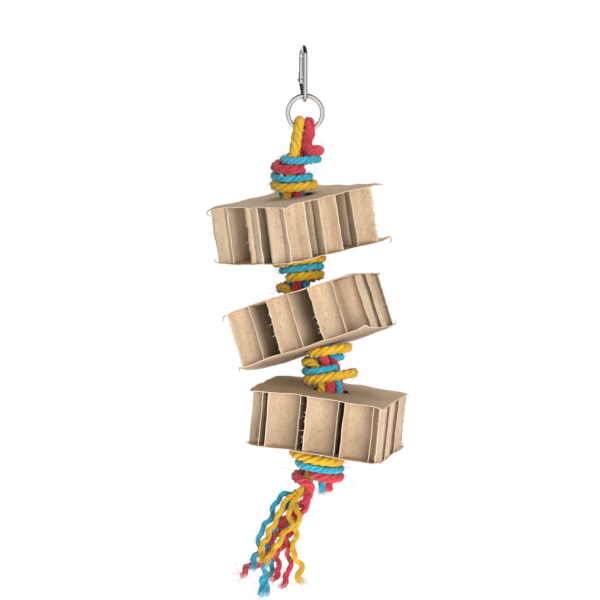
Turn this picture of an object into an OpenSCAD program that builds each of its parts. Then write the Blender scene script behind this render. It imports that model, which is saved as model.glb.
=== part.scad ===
// Hanging bird toy. Three blocks of paper honeycomb are threaded on knotted sisal ropes.
// The ropes loop over a split ring, and the ring hangs in a small spring hook.
// The origin is the top of the inside of the hook, where the toy hangs. The front faces -Y.

/* [Hook] */
// Thickness of the hook's wire
hook_wire_d = 3.8; // [3.2:0.1:4.4]
// Height of the hook over all
hook_h = 51.2; // [48:0.1:60]
// Width of the hook between the middles of its wires
hook_w = 18.4; // [17:0.1:22]
// Radius of the bottom bend, to the middle of the wire
hook_foot_r = 4.5; // [4.2:0.1:6]
// Angle at which the nose stops short of the gate's side
nose_angle = 15; // [8:1:30]
// Turn of the hook about the vertical
hook_turn = 11.5; // [0:0.5:45]

/* [Gate] */
// Diameter of the gate's rod
gate_d = 3.8; // [3.2:0.1:4.2]
// Height of the gate's pivot below the origin
gate_drop = 26.5; // [24:0.5:28]
// Diameter of the forked foot of the gate
fork_d = 4.8; // [4.6:0.1:5.6]
// Reach of the foot above the pivot
fork_up = 7; // [5:0.5:9]
// Width of the slot in the foot
fork_slot = 1.8; // [1.6:0.1:2.2]
// Thickness of the flat tongue in the slot
tongue_t = 1.4; // [1:0.1:1.5]
// Diameter of the rivet
rivet_d = 1.6; // [1.2:0.1:2]
// Play between moving metal parts
metal_gap = 0.3; // [0.2:0.05:0.4]

/* [Gate spring] */
// Outer diameter of the spring
spring_od = 1.6; // [1.3:0.1:1.7]
// Thickness of its wire
spring_wire_d = 0.3; // [0.2:0.05:0.4]
// Length of the spring
spring_l = 8; // [5:0.5:10]
// Number of turns
spring_turns = 7; // [4:1:10]

/* [Split ring] */
// Outer diameter of the split ring
ring_od = 34.2; // [30:0.2:40]
// Width of its flat wire across the ring
ring_wire_w = 3.9; // [3:0.1:4.5]
// Thickness of each of its two turns
ring_turn_t = 1.8; // [1.4:0.1:2]
// Gap between its two turns
ring_gap = 0.1; // [0.05:0.05:0.3]
// Angle round the ring at which the wire steps over
ring_step_angle = 62; // [0:1:360]

/* [Blocks] */
// Length of each block
block_l = 121; // [100:1:140]
// Depth of each block
block_w = 100; // [80:1:120]
// Thickness of each block over all
block_t = 50; // [40:1:52]
// Thickness of the facing sheets
sheet_t = 0.8; // [0.5:0.1:1.5]
// Diameter of the hole for the ropes
hole_d = 34; // [32:1:38]
// Middle of the top block
block_1_at = [-3, -5, -153.5];
// Tilt of the top block about X, Y and Z
block_1_turn = [0.5, -11.5, 43];
// Middle of the second block
block_2_at = [6.2, -5, -238.7];
// Tilt of the second block about X, Y and Z
block_2_turn = [0.5, -17.9, -17];
// Middle of the bottom block
block_3_at = [21.6, -5, -324.2];
// Tilt of the bottom block about X, Y and Z
block_3_turn = [5.8, 7.7, -14];

/* [Honeycomb] */
// Thickness of the honeycomb paper
paper_t = 0.6; // [0.4:0.1:1]
// Pitch of the cells along a row, in each block
cell_pitch = [41, 39, 33]; // [30:1:48]
// Pitch of the rows
row_pitch = 17; // [12:0.5:22]
// Length over which two rows are glued together, on even faces, in each block
even_glue_l = [16, 12, 4.5]; // [4:0.5:18]
// The same on odd faces
odd_glue_l = [16, 12, 20]; // [10:0.5:20]
// How much the glue lines wander
cell_wander = 1.6; // [0:0.1:3]
// How far the glued faces overlap
glue_lap = 0.1; // [0.05:0.05:0.2]

/* [Ropes] */
// Diameter of the yellow and the red rope
rope_d = 8; // [7:0.1:8.2]
// Diameter of the blue rope
thin_rope_d = 5.8; // [5:0.1:7]
// Gap between ropes that run side by side
leg_gap = 0.7; // [0.4:0.05:0.8]
// Gap between the turns of a knot
turn_gap = 0.3; // [0.2:0.05:0.5]
// Diameter of one strand of a rope
strand_d = 3.3; // [3:0.1:4.2]
// Place of the yellow loop along X from the middle of the ring
yellow_loop_x = -6; // [-8:0.2:-4.4]
// Place of the red loop along X from the middle of the ring
red_loop_x = 4; // [4:0.2:6]
// Distance from the ring's wire to the middle of a rope that bends over it
loop_r = 7.1; // [6.8:0.1:8]

/* [Knots] */
// Middle of the top knot
knot_1_at = [-6, -7.5, -106.6];
// Direction square to its turns
knot_1_axis = [-0.1, -0.3, 1];
// Direction of the ropes through it
knot_1_lean = [0.16, 0, 1];
// Middle of the second knot
knot_2_at = [-3, -2.2, -195.3];
// Direction square to its turns
knot_2_axis = [-0.1, 0, 1];
// Direction of the ropes through it
knot_2_lean = [0.12, 0, 1];
// Middle of the third knot
knot_3_at = [19.2, -7.7, -278.5];
// Direction square to its turns
knot_3_axis = [-0.14, -0.03, 1];
// Direction of the ropes through it
knot_3_lean = [-0.26, 0.03, 1];
// Middle of the bottom knot
knot_4_at = [13.5, -1, -366.1];
// Direction square to its turns
knot_4_axis = [0.13, -0.18, 1];
// Direction of the ropes through it
knot_4_lean = [0.15, 0, 1];
// Looseness of the turns in each knot
knot_slack = [0.3, 1, 1.2, 2.5];
// How far the turns of each knot bulge to one side
knot_bulge = [2, 5, 6, 4];
// Direction of that bulge, from X
knot_bulge_way = [190, 195, 335, 185];
// How far the bundle of ropes has twisted at each knot
knot_twist = [0, -30, -30, -60];

/* [Hidden] */

steel = [0.78, 0.78, 0.77];
kraft = [0.74, 0.63, 0.50];
yellow = [0.93, 0.72, 0.13];
red = [0.82, 0.20, 0.28];
blue = [0.14, 0.62, 0.76];

// Hook, in its own plane: X runs from the straight side to the gate, Y runs up
top_r = hook_w / 2;
top_y = hook_wire_d / 2 - top_r;
foot_x = hook_foot_r - top_r;
foot_y = 1.5 * hook_wire_d - hook_h + hook_foot_r;
gate_x = top_r;
fork_r = fork_d / 2;
stub_top_y = -gate_drop - fork_r - metal_gap;
knee_drop = 1.3;
knee = [gate_x, stub_top_y - knee_drop];
knee_off = knee - [foot_x, foot_y];
flank_end_angle = atan2(knee_off[1], knee_off[0]) - acos(hook_foot_r / norm(knee_off));
flank_end = [foot_x, foot_y] + hook_foot_r * [cos(flank_end_angle), sin(flank_end_angle)];
knee_r = 2.6;
knee_turn = abs(flank_end_angle);
knee_end_y = knee[1] + knee_r * tan(knee_turn / 2);
knee_start = [gate_x - knee_r, knee_end_y] + knee_r * [cos(flank_end_angle), sin(flank_end_angle)];
run_into = 0.2;
run_step = 0.02;
nose_low_y = top_y + (top_r - hook_wire_d / 2) * sin(nose_angle);
gate_top_y = nose_low_y - 1.4 * metal_gap;
tongue_r = 1.8;
slot_up = 4.2;
rivet_head_d = 2.6;
rivet_head_t = 0.5;
rivet_l = fork_d + 2 * rivet_head_t + 2 * metal_gap;

// Ring
ring_mid_r = (ring_od - ring_wire_w) / 2;
ring_at = [1.6, -5, 2 * hook_wire_d - hook_h + metal_gap - ring_mid_r + ring_wire_w / 2];
ring_split = 22;
ring_stations = 70;

// Blocks
block_at = [block_1_at, block_2_at, block_3_at];
block_turn = [block_1_turn, block_2_turn, block_3_turn];
core_t = block_t - 2 * sheet_t;
// Where the cells of each block begin, along its length and its depth
cell_start = [[-70.1, -3.5], [-66.5, -5.5], [-77.4, -1]];
cells_across = 5;

// Ropes: six legs, two of each colour, run side by side in a ring round an open middle
slot_r = rope_d + leg_gap;
turn_fall = rope_d + turn_gap;
rope_sides = 8;
turn_step = 20;
// Share of each turn's fall that is taken behind the knot; above 1 it climbs in front
back_share = [0, 1.7, 1.6, 0.6];
// In the top knot the red turn falls far enough behind to let the blue one pass through it
red_fall = rope_d + thin_rope_d + 2 * turn_gap;
top_knot_fall = [[-180, -0.1], [-60, 0], [150, red_fall], [300, red_fall + 0.2],
                 [480, red_fall + turn_fall + 0.2]];
knot_at = [knot_1_at, knot_2_at, knot_3_at, knot_4_at];
knot_axis = [knot_1_axis, knot_2_axis, knot_3_axis, knot_4_axis];
knot_lean = [knot_1_lean, knot_2_lean, knot_3_lean, knot_4_lean];
// The legs that make the turns of each knot, from its top turn down. Legs 0 and 2 are yellow,
// 1 and 4 blue, 3 and 5 red, and 6 more or fewer is the same leg one turn on. The bight is the
// middle of the blue rope, one turn and a half round the top knot.
bight = 100;
knot_legs = [[-3, bight, 0], [0, 1, 2], [2, 4, 6], [0, 1, 3]];
bight_from = -180;
bight_span = 540;
lead = 4.5;
lead_angle = 12;
hole_lead = 14;
block_share = 0.35;
loop_tilt = 0.4;

// Ways of the six legs below the bottom knot: three run on to the loose strands, three are cut short
yellow_end = [[3, -1.5, -383], [-4, -4, -390.5]];
red_end = [[4.5, -9.5, -391]];
blue_end = [[5, 7.5, -383], [-4, 6.5, -390]];
yellow_stub = [[17.5, 8, -386.5]];
red_stub = [[22, 0, -387]];
blue_stub = [[16, -9, -387.5]];

// Loose strands: points chosen along each, from the end of its rope to its own end
yellow_route_1 = [[-5.6, -4.1, -389.1], [-8.4, -5.1, -392.1], [-18, -10, -398.5], [-21, -11, -408],
                  [-26, -12, -417], [-31, -12, -426], [-35, -12, -434], [-36, -12, -442], [-38, -12, -450]];
yellow_route_2 = [[-3, -5.8, -391], [-5.8, -6.8, -394], [-11, -12, -401], [-12, -15, -410], [-11, -16, -420],
                  [-19, -16, -427], [-24, -16, -437], [-30, -16, -443], [-31, -16, -451]];
yellow_route_3 = [[-3.6, -2.3, -391.6], [-6.4, -3.3, -394.6], [-7, -4, -399], [-4, -13, -406], [-5, -14, -415],
                  [-8, -12, -434], [-9, -12, -443], [-2, -12, -452], [-4, -12, -462], [0, -12, -469]];
red_route_1 = [[5.6, -11.3, -391.1], [3.6, -12.3, -397], [1, -11, -404], [-2, -6, -407], [-12, -5.5, -409], [-18, -5, -417],
               [-15, -5, -430], [-13, -5, -443], [-12, -5, -456], [-15, -5, -465], [-20, -5, -473]];
red_route_2 = [[5.4, -7.8, -391.7], [3.4, -8.8, -397.6], [1, -1, -403], [-6, 0, -413], [-11, 0, -425],
               [-19, -1, -437], [-24, -2, -447], [-21, -2, -457], [-28, -2, -468]];
red_route_3 = [[2.5, -9.6, -390.4], [0.5, -10.6, -396.3], [-5, 1, -401], [-16, 1, -414], [-24, 0, -428],
               [-30, 0, -441], [-39, 0, -452], [-48, 0, -455], [-55, 0, -463]];
blue_route_1 = [[-5.4, 6.5, -388.4], [-9, 6.1, -391.2], [-20, 2, -393], [-26, -2, -404], [-30, -4, -414],
                [-38, -5, -425], [-39, -5, -440], [-43, -5, -448], [-45, -5, -458]];
blue_route_2 = [[-3.6, 8.3, -391], [-7.2, 7.9, -393.8], [-15, 8, -402], [-21, 7, -413], [-25, 6, -426],
                [-31, 4, -438], [-33, 4, -452], [-35, 4, -466], [-39, 4, -481]];
blue_route_3 = [[-3.3, 4.7, -390.8], [-6.9, 4.3, -393.6], [-8, 6, -406], [-13, 8, -418], [-19, 8, -432],
                [-25, 8, -446], [-29, 8, -460], [-33, 8, -471], [-33, 8, -481]];

function unit(v) = v / norm(v);
function side_x(n) = unit([1, 0, 0] - n[0] * n);
function side_y(n) = cross(n, side_x(n));
// A point given in a frame whose third axis is n and whose first axis leans as little from X as it can
function in_frame(at, n, p) = at + p[0] * side_x(n) + p[1] * side_y(n) + p[2] * n;
function polar(r, a, z) = [r * cos(a), r * sin(a), z];
// The upward axis of a block that is turned about X, then Y, then Z
function up_axis(t) = [cos(t[0]) * sin(t[1]) * cos(t[2]) + sin(t[0]) * sin(t[2]),
                       cos(t[0]) * sin(t[1]) * sin(t[2]) - sin(t[0]) * cos(t[2]),
                       cos(t[0]) * cos(t[1])];

// Tube of straight stretches through a list of points
function run_at(path, i) =
    let (n = len(path))
    unit(i == 0 ? path[1] - path[0] : i == n - 1 ? path[n - 1] - path[n - 2]
         : unit(path[i + 1] - path[i]) + unit(path[i] - path[i - 1]));
function square_to(v, d) = unit(v - (v * d) * d);
function sides_along(path, i, last) =
    let (v = square_to(i == 0 ? (abs(run_at(path, 0)[2]) < 0.9 ? [0, 0, 1] : [1, 0, 0]) : last,
                       run_at(path, i)))
    i == len(path) - 1 ? [v] : concat([v], sides_along(path, i + 1, v));
function rim(c, v, d, r, sides) =
    let (w = cross(d, v))
    [for (k = [0:sides - 1]) c + r * (cos(360 * k / sides) * v + sin(360 * k / sides) * w)];

module tube(path, d, sides) {
    v = sides_along(path, 0, undef);
    n = len(path);
    points = [for (i = [0:n - 1]) each rim(path[i], v[i], run_at(path, i), d / 2, sides)];
    walls = [for (i = [0:n - 2]) for (k = [0:sides - 1]) let (m = (k + 1) % sides)
             [i * sides + k, (i + 1) * sides + k, (i + 1) * sides + m, i * sides + m]];
    first = [for (k = [0:sides - 1]) k];
    last = [for (k = [sides - 1:-1:0]) (n - 1) * sides + k];
    polyhedron(points = points, faces = concat([first], walls, [last]), convexity = 10);
}

module in_hook_plane() {
    rotate([0, 0, hook_turn]) rotate([90, 0, 90]) children();
}

module wire_arc(r, from, to) {
    rotate([0, 0, from]) rotate_extrude(angle = to - from, $fn = 96) translate([r, 0])
        circle(d = hook_wire_d, $fn = 32);
}

// A straight run reaches a little way into the bends at its ends, and is thinner by a hair
module wire_run(a, b) {
    run = b - a;
    translate([a[0], a[1], 0]) rotate([0, 0, atan2(run[1], run[0])]) rotate([0, 90, 0])
        translate([0, 0, -run_into]) cylinder(d = hook_wire_d - run_step, h = norm(run) + 2 * run_into, $fn = 32);
}

module hook_body() {
    color(steel) in_hook_plane() difference() {
        union() {
            translate([0, top_y, 0]) wire_arc(top_r, nose_angle, 180);
            wire_run([-top_r, foot_y], [-top_r, top_y]);
            translate([foot_x, foot_y, 0]) wire_arc(hook_foot_r, -180, flank_end_angle);
            wire_run(flank_end, knee_start);
            translate([gate_x - knee_r, knee_end_y, 0]) wire_arc(knee_r, flank_end_angle, 0);
            wire_run([gate_x, knee_end_y], [gate_x, stub_top_y - run_into]);
            translate([gate_x, -gate_drop, -tongue_t / 2]) {
                cylinder(r = tongue_r, h = tongue_t, $fn = 32);
                translate([-tongue_r, stub_top_y + gate_drop - knee_drop, 0])
                    cube([2 * tongue_r, knee_drop - stub_top_y - gate_drop, tongue_t]);
            }
        }
        translate([gate_x, -gate_drop, -hook_wire_d]) cylinder(d = rivet_d, h = 2 * hook_wire_d, $fn = 24);
    }
}

module hook_gate() {
    color(steel) in_hook_plane() difference() {
        union() {
            translate([gate_x, -gate_drop + fork_up - 1, 0]) rotate([-90, 0, 0])
                cylinder(d = gate_d, h = gate_top_y + gate_drop - fork_up + 1, $fn = 32);
            intersection() {
                translate([gate_x, -gate_drop - fork_d, 0]) rotate([-90, 0, 0])
                    cylinder(d = fork_d, h = fork_d + fork_up, $fn = 32);
                union() {
                    translate([gate_x, -gate_drop, -fork_d]) cylinder(d = fork_d, h = 2 * fork_d, $fn = 32);
                    translate([gate_x - fork_d, -gate_drop, -fork_d])
                        cube([2 * fork_d, fork_up + fork_d, 2 * fork_d]);
                }
            }
        }
        translate([gate_x - fork_d, -gate_drop - fork_d, -fork_slot / 2])
            cube([2 * fork_d, fork_d + slot_up, fork_slot]);
        translate([gate_x, -gate_drop, 0]) rotate([-90, 0, 0])
            cylinder(d = spring_od + metal_gap, h = tongue_r + spring_l + metal_gap, $fn = 24);
        translate([gate_x, -gate_drop, -fork_d]) cylinder(d = rivet_d + metal_gap, h = 2 * fork_d, $fn = 24);
    }
}

module gate_rivet() {
    color(steel) in_hook_plane() translate([gate_x, -gate_drop, -rivet_l / 2]) {
        cylinder(d = rivet_d, h = rivet_l, $fn = 24);
        cylinder(d1 = rivet_d, d2 = rivet_head_d, h = rivet_head_t, $fn = 24);
        translate([0, 0, rivet_l - rivet_head_t])
            cylinder(d1 = rivet_head_d, d2 = rivet_d, h = rivet_head_t, $fn = 24);
    }
}

module gate_spring() {
    steps = 10;
    r = (spring_od - spring_wire_d) / 2;
    rise = spring_l - spring_wire_d - metal_gap / 2;
    path = [for (i = [0:spring_turns * steps])
            [r * cos(360 * i / steps), r * sin(360 * i / steps), rise * i / (spring_turns * steps)]];
    color(steel) in_hook_plane()
        translate([gate_x, -gate_drop + tongue_r + spring_wire_d / 2 + metal_gap / 2, 0])
        rotate([-90, 0, 0]) tube(path, spring_wire_d, 6);
}

// The ring's wire is a flat strip with its corners taken off, wound nearly twice round
module split_ring() {
    corner = 0.4;
    half_w = ring_wire_w / 2;
    half_t = ring_turn_t / 2;
    section = [[half_w, half_t - corner], [half_w - corner, half_t], [corner - half_w, half_t],
               [-half_w, half_t - corner], [-half_w, corner - half_t], [corner - half_w, -half_t],
               [half_w - corner, -half_t], [half_w, corner - half_t]];
    lift = (ring_turn_t + ring_gap) / 2;
    sweep = 720 - 2 * ring_split;
    function level(a) =
        let (t = min(1, max(0, (a - 360 + ring_split) / (2 * ring_split))))
        lift * (2 * t * t * (3 - 2 * t) - 1);
    points = [for (i = [0:ring_stations]) let (a = ring_split + sweep * i / ring_stations)
              for (p = section) [(ring_mid_r + p[0]) * cos(a), (ring_mid_r + p[0]) * sin(a), level(a) + p[1]]];
    walls = [for (i = [0:ring_stations - 1]) for (k = [0:7]) let (m = (k + 1) % 8)
             [i * 8 + k, i * 8 + m, (i + 1) * 8 + m, (i + 1) * 8 + k]];
    first = [for (k = [7:-1:0]) k];
    last = [for (k = [0:7]) ring_stations * 8 + k];
    color(steel) translate(ring_at) rotate([90, 0, 0]) rotate([0, 0, ring_step_angle])
        polyhedron(points = points, faces = concat([first], walls, [last]), convexity = 10);
}

module at_block(k) {
    translate(block_at[k]) rotate(block_turn[k]) children();
}

module sheet(k, side) {
    color(kraft) at_block(k) translate([0, 0, side * (core_t + sheet_t) / 2]) difference() {
        cube([block_l, block_w, sheet_t], center = true);
        cylinder(d = hole_d, h = 2 * block_t, center = true, $fn = 64);
    }
}

// Middle of glue line m on the face between two rows, which wanders a little from its true place
function glue_x(k, face, m) =
    cell_start[k][0] + (m + (face % 2) / 2) * cell_pitch[k] + cell_wander * sin(137 * m + 71 * face + 50 * k);
function glue_run(k, face, m, y) =
    let (x = glue_x(k, face, m), half = (face % 2 == 0 ? even_glue_l[k] : odd_glue_l[k]) / 2)
    [[x - half, y], [x + half, y]];
// One ribbon of paper, which goes from a glue line on one side of its row to the next on the other
function ribbon_path(k, row) =
    let (low = cell_start[k][1] - block_w / 2 + row * row_pitch + paper_t / 2 - glue_lap / 2,
         high = low + row_pitch - paper_t + glue_lap)
    [for (m = [-1:cells_across - 1])
     each concat(glue_run(k, row, m, low), glue_run(k, row + 1, m + row % 2, high))];
function across(d) = [-d[1], d[0]];
function thick_side(path, t) =
    let (n = len(path))
    [for (i = [0:n - 1])
     let (before = across(unit(path[max(i, 1)] - path[max(i, 1) - 1])),
          after = across(unit(path[min(i, n - 2) + 1] - path[min(i, n - 2)])))
     path[i] + t * (before + after) / (1 + before * after)];
function backwards(list) = [for (i = [len(list) - 1:-1:0]) list[i]];

module honeycomb(k) {
    rows = ceil((block_w - cell_start[k][1]) / row_pitch);
    color(kraft) at_block(k) difference() {
        intersection() {
            for (row = [0:rows - 1])
                translate([0, 0, -core_t / 2]) linear_extrude(core_t)
                    polygon(concat(thick_side(ribbon_path(k, row), paper_t / 2),
                                   backwards(thick_side(ribbon_path(k, row), -paper_t / 2))));
            cube([block_l, block_w, 2 * block_t], center = true);
        }
        cylinder(d = hole_d, h = 2 * block_t, center = true, $fn = 64);
    }
}

// Ropes
function slot_angle(s, twist) = 120 + 60 * s + twist;
function is_blue(leg) = leg == bight || leg % 3 == 1 || leg % 3 == -2;
function leg_d(leg) = is_blue(leg) ? thin_rope_d : rope_d;
// How far the turns have fallen, apart from one another, by angle a of a knot
function fall(k, a) =
    k == 0 ? lookup(a, top_knot_fall) : turn_fall * (a / 360 - back_share[k] * cos(a) / (2 * PI));
function turn_from(k, i) =
    knot_legs[k][i] == bight ? bight_from : slot_angle(knot_legs[k][i], knot_twist[k]);
function turn_span(k, i) = knot_legs[k][i] == bight ? bight_span : 360;
// How far turn i lies under the first
function under_first(k, i) =
    i == 0 ? 0 : under_first(k, i - 1) + (leg_d(knot_legs[k][i - 1]) + leg_d(knot_legs[k][i])) / 2 + turn_gap;
function first_z(k) =
    let (n = len(knot_legs[k]))
    (fall(k, turn_from(k, 0)) + under_first(k, n - 1)
     + fall(k, turn_from(k, n - 1) + turn_span(k, n - 1))) / 2;
function turn_z(k, i, a) = first_z(k) - under_first(k, i) - fall(k, a);
function turn_r(k, a, gone, span) =
    let (near = min(gone, span - gone), way = cos(a - knot_bulge_way[k]),
         loose = knot_slack[k] + knot_bulge[k] * pow(max(0, way), 2))
    near < 60 ? 2 * slot_r * cos(60 - near) : 2 * slot_r + loose * min(1, (near - 60) / 50);
function knot_reach(k) = turn_z(k, 0, turn_from(k, 0)) + lead + 1;
// A point of a knot, whose turns are square to its axis and whose legs run along its lean
function in_knot(k, p) =
    let (n = unit(knot_axis[k]))
    knot_at[k] + p[0] * side_x(n) + p[1] * side_y(n) + p[2] * knot_lean[k] / (knot_lean[k] * n);

// One turn of a leg round the others, from its slot out, round and back in
function turn_points(k, i) =
    let (from = turn_from(k, i), span = turn_span(k, i), steps = round((span - 2 * lead_angle) / turn_step))
    [for (j = [0:steps]) let (gone = lead_angle + (span - 2 * lead_angle) * j / steps, a = from + gone)
     in_knot(k, polar(turn_r(k, a, gone, span), a, turn_z(k, i, a)))];

// A leg's way down through a knot, with its turn if it makes one
function through_knot(k, leg) =
    let (a = slot_angle(leg, knot_twist[k]), reach = knot_reach(k), legs = knot_legs[k],
         mine = [for (i = [0:len(legs) - 1]) if (legs[i] != bight && (legs[i] - leg) % 6 == 0) i],
         from = len(mine) == 0 ? 0 : slot_angle(legs[mine[0]], knot_twist[k]))
    concat([in_knot(k, polar(slot_r, a, reach))],
           len(mine) == 0 ? []
           : concat([in_knot(k, polar(slot_r, a, turn_z(k, mine[0], from) + lead))],
                    turn_points(k, mine[0]),
                    [in_knot(k, polar(slot_r, a, turn_z(k, mine[0], from + 360) - lead))]),
           k == 3 ? [] : [in_knot(k, polar(slot_r, a, -reach))]);

// A leg's way down through the hole of a block, as the bundle twists from one knot to the next
function through_block(k, leg) =
    let (n = up_axis(block_turn[k]), from = knot_twist[k], by = knot_twist[k + 1] - knot_twist[k],
         z = block_t / 2 - hole_lead)
    [for (t = [0, 1])
     in_frame(block_at[k], n,
              polar(slot_r, slot_angle(leg, from + by * (block_share + (1 - 2 * block_share) * t)),
                    z * (1 - 2 * t)))];

function below_top_knot(leg) =
    concat(through_block(0, leg), through_knot(1, leg), through_block(1, leg), through_knot(2, leg),
           through_block(2, leg), through_knot(3, leg));

// A loop over the ring's lowest stretch, from the leg behind to the leg in front
function ring_low_z(x) = ring_at[2] - sqrt(ring_mid_r * ring_mid_r - x * x);
function loop_points(x) =
    let (up = unit([-loop_tilt * x / ring_mid_r, 0, 1]), low = [ring_at[0] + x, ring_at[1], ring_low_z(x)])
    [for (a = [-30:30:210]) low + loop_r * (cos(a) * [0, 1, 0] + sin(a) * up)];

function looped_rope(x, back_leg, front_leg, back_end, front_end) =
    concat(backwards(concat(through_knot(0, back_leg), below_top_knot(back_leg), back_end)),
           loop_points(x),
           through_knot(0, front_leg), below_top_knot(front_leg), front_end);

// The blue rope has no loop on the ring: its middle goes round the top knot
function blue_bight() =
    let (i = search(bight, knot_legs[0])[0], from = bight_from, to = bight_from + bight_span)
    concat([in_knot(0, polar(slot_r, from, turn_z(0, i, from) - lead))],
           turn_points(0, i),
           [in_knot(0, polar(slot_r, to, turn_z(0, i, to) - lead))]);
function tail_of(list) = [for (i = [1:len(list) - 1]) list[i]];

module yellow_rope() {
    color(yellow) tube(looped_rope(yellow_loop_x, 0, 2, yellow_stub, yellow_end), rope_d, rope_sides);
}

module red_rope() {
    color(red) tube(looped_rope(red_loop_x, 5, 3, red_stub, red_end), rope_d, rope_sides);
}

module blue_rope() {
    color(blue) tube(concat(backwards(concat(tail_of(through_knot(0, 1)), below_top_knot(1), blue_end)),
                            blue_bight(),
                            tail_of(through_knot(0, 4)), below_top_knot(4), blue_stub),
                     thin_rope_d, rope_sides);
}

module strand(tint, route) {
    color(tint) tube(route, strand_d, rope_sides);
}

hook_body();
hook_gate();
gate_rivet();
gate_spring();
split_ring();
sheet(0, 1);  // block_1_top_sheet
honeycomb(0);  // block_1_honeycomb
sheet(0, -1);  // block_1_bottom_sheet
sheet(1, 1);  // block_2_top_sheet
honeycomb(1);  // block_2_honeycomb
sheet(1, -1);  // block_2_bottom_sheet
sheet(2, 1);  // block_3_top_sheet
honeycomb(2);  // block_3_honeycomb
sheet(2, -1);  // block_3_bottom_sheet
yellow_rope();
red_rope();
blue_rope();
strand(yellow, yellow_route_1);  // yellow_strand_1
strand(yellow, yellow_route_2);  // yellow_strand_2
strand(yellow, yellow_route_3);  // yellow_strand_3
strand(red, red_route_1);  // red_strand_1
strand(red, red_route_2);  // red_strand_2
strand(red, red_route_3);  // red_strand_3
strand(blue, blue_route_1);  // blue_strand_1
strand(blue, blue_route_2);  // blue_strand_2
strand(blue, blue_route_3);  // blue_strand_3
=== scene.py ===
"""Looks of the hanging bird toy: paper honeycomb blocks on knotted, dyed sisal ropes.

Lengths in this script are in millimetres until a mesh is made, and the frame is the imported
model's own: the origin is the top of the inside of the hook and the front faces -Y.
"""

import math
import random

import bpy
import numpy as np
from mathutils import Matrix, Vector, noise


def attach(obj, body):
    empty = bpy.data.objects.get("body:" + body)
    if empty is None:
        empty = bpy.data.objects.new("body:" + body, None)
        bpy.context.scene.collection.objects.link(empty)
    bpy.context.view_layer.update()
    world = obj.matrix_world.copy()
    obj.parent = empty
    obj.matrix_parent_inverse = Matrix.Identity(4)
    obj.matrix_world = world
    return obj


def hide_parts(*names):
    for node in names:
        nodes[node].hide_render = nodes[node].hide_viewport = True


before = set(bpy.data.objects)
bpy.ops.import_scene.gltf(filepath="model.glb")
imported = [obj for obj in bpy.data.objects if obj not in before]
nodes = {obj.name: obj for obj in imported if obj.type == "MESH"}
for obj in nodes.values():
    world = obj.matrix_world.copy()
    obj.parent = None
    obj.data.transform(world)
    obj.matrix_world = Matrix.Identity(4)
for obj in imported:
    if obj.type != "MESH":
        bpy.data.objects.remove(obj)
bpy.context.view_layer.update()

MM = 0.001

# Vector noise starts from the clock unless it is given a seed
noise.seed_set(3)


# Camera
def make_camera():
    """A level camera far in front of the toy."""
    picture_width = 526.2
    x, y, z = (-2.9, -5, -220.5)
    distance = 2500
    data = bpy.data.cameras.new("camera")
    data.sensor_width = 36
    data.lens = data.sensor_width * distance / picture_width
    data.clip_end = 30
    camera = bpy.data.objects.new("camera", data)
    camera.location = Vector((x, y - distance, z)) * MM
    camera.rotation_euler = (math.radians(90), 0, 0)
    bpy.context.scene.collection.objects.link(camera)
    bpy.context.scene.camera = camera


make_camera()


# Colours, as they are seen under the stage's light
def linear(red, green, blue):
    """An sRGB colour from 0 to 255 as the linear colour that a shader takes."""
    parts = [c / 255 for c in (red, green, blue)]
    low = [p / 12.92 if p <= 0.04045 else ((p + 0.055) / 1.055) ** 2.4 for p in parts]
    return (*low, 1)


white = (1, 1, 1, 1)
black = (0, 0, 0, 1)


def new_material(name, roughness, metallic=0.0):
    """A new material with its node tree and its shader."""
    material = bpy.data.materials.new(name)
    material.use_nodes = True
    tree = material.node_tree
    shader = tree.nodes["Principled BSDF"]
    shader.inputs["Roughness"].default_value = roughness
    shader.inputs["Metallic"].default_value = metallic
    return material, tree, shader


def add_noise(tree, source, scale, stretch=(1, 1, 1), detail=4.0, roughness=0.55):
    """Noise at the source's points, finer along an axis with a larger stretch."""
    mapping = tree.nodes.new("ShaderNodeMapping")
    mapping.inputs["Scale"].default_value = stretch
    tree.links.new(source, mapping.inputs["Vector"])
    made = tree.nodes.new("ShaderNodeTexNoise")
    made.inputs["Scale"].default_value = scale
    made.inputs["Detail"].default_value = detail
    made.inputs["Roughness"].default_value = roughness
    tree.links.new(mapping.outputs["Vector"], made.inputs["Vector"])
    return made.outputs["Fac"]


def add_ramp(tree, source, stops):
    """A colour ramp with the given (place, colour) stops."""
    ramp = tree.nodes.new("ShaderNodeValToRGB")
    points = ramp.color_ramp.elements
    while len(points) < len(stops):
        points.new(0.5)
    for point, (place, colour) in zip(points, stops):
        point.position = place
        point.color = colour
    tree.links.new(source, ramp.inputs["Fac"])
    return ramp.outputs["Color"]


def add_mix(tree, a, b, factor, blend="MIX"):
    """A mix of two colours by a socket or a number."""
    mix = tree.nodes.new("ShaderNodeMix")
    mix.data_type = "RGBA"
    mix.blend_type = blend
    if isinstance(factor, float):
        mix.inputs["Factor"].default_value = factor
    else:
        tree.links.new(factor, mix.inputs["Factor"])
    tree.links.new(a, mix.inputs["A"])
    tree.links.new(b, mix.inputs["B"])
    return mix.outputs["Result"]


def add_math(tree, kind, a, b=None):
    """A math node on sockets or numbers."""
    made = tree.nodes.new("ShaderNodeMath")
    made.operation = kind
    for value, socket in ((a, made.inputs[0]), (b, made.inputs[1])):
        if isinstance(value, (int, float)):
            socket.default_value = value
        elif value is not None:
            tree.links.new(value, socket)
    return made.outputs["Value"]


def add_bump(tree, shader, layers):
    """Bumps from (height, strength, depth in mm) layers, one on top of the other."""
    last = None
    for height, strength, depth in layers:
        bump = tree.nodes.new("ShaderNodeBump")
        bump.inputs["Strength"].default_value = strength
        bump.inputs["Distance"].default_value = depth * MM
        tree.links.new(height, bump.inputs["Height"])
        if last is not None:
            tree.links.new(last, bump.inputs["Normal"])
        last = bump.outputs["Normal"]
    tree.links.new(last, shader.inputs["Normal"])


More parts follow.
